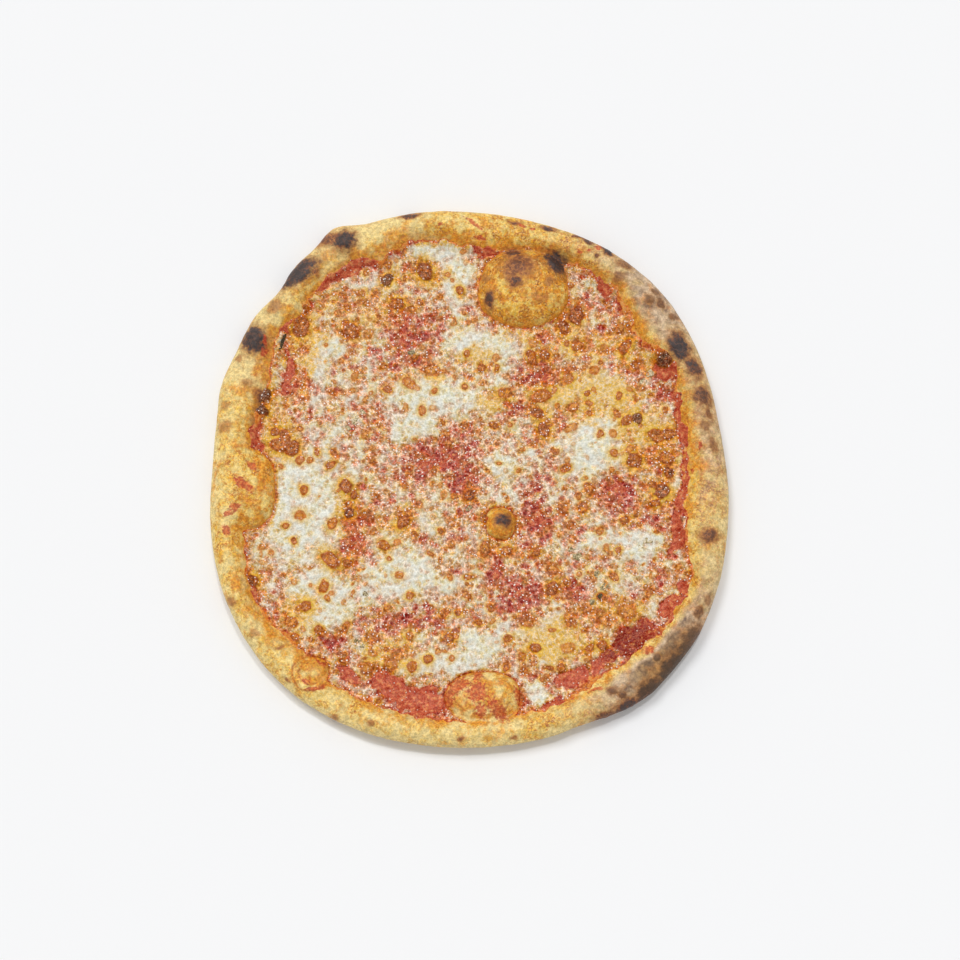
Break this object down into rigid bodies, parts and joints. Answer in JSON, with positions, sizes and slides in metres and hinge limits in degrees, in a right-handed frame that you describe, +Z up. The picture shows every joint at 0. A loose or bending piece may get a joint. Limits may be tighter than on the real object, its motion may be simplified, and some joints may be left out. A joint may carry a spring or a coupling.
{
  "type": "cheese pizza",
  "caption": "Round whole cheese pizza with a puffed charred rim, raised dough bubbles, tomato sauce and a layer of melted cheese.",
  "frame": {"origin": "middle of the flat underside, on the surface that the pizza rests on", "axes": "+Z up, out of the toppings; +Y towards the side with the large dough bubble"},
  "size_m": [0.3136, 0.3304, 0.021],
  "materials": {
    "crust": "matte baked bread dough, golden with pale and charred patches",
    "sauce": "moist cooked tomato sauce",
    "cheese": "oily melted cheese, cream with orange and browned blisters"
  },
  "bodies": {
    "root": {"crust": "crust", "sauce": "sauce", "cheese": "cheese"}
  },
  "joints": []
}
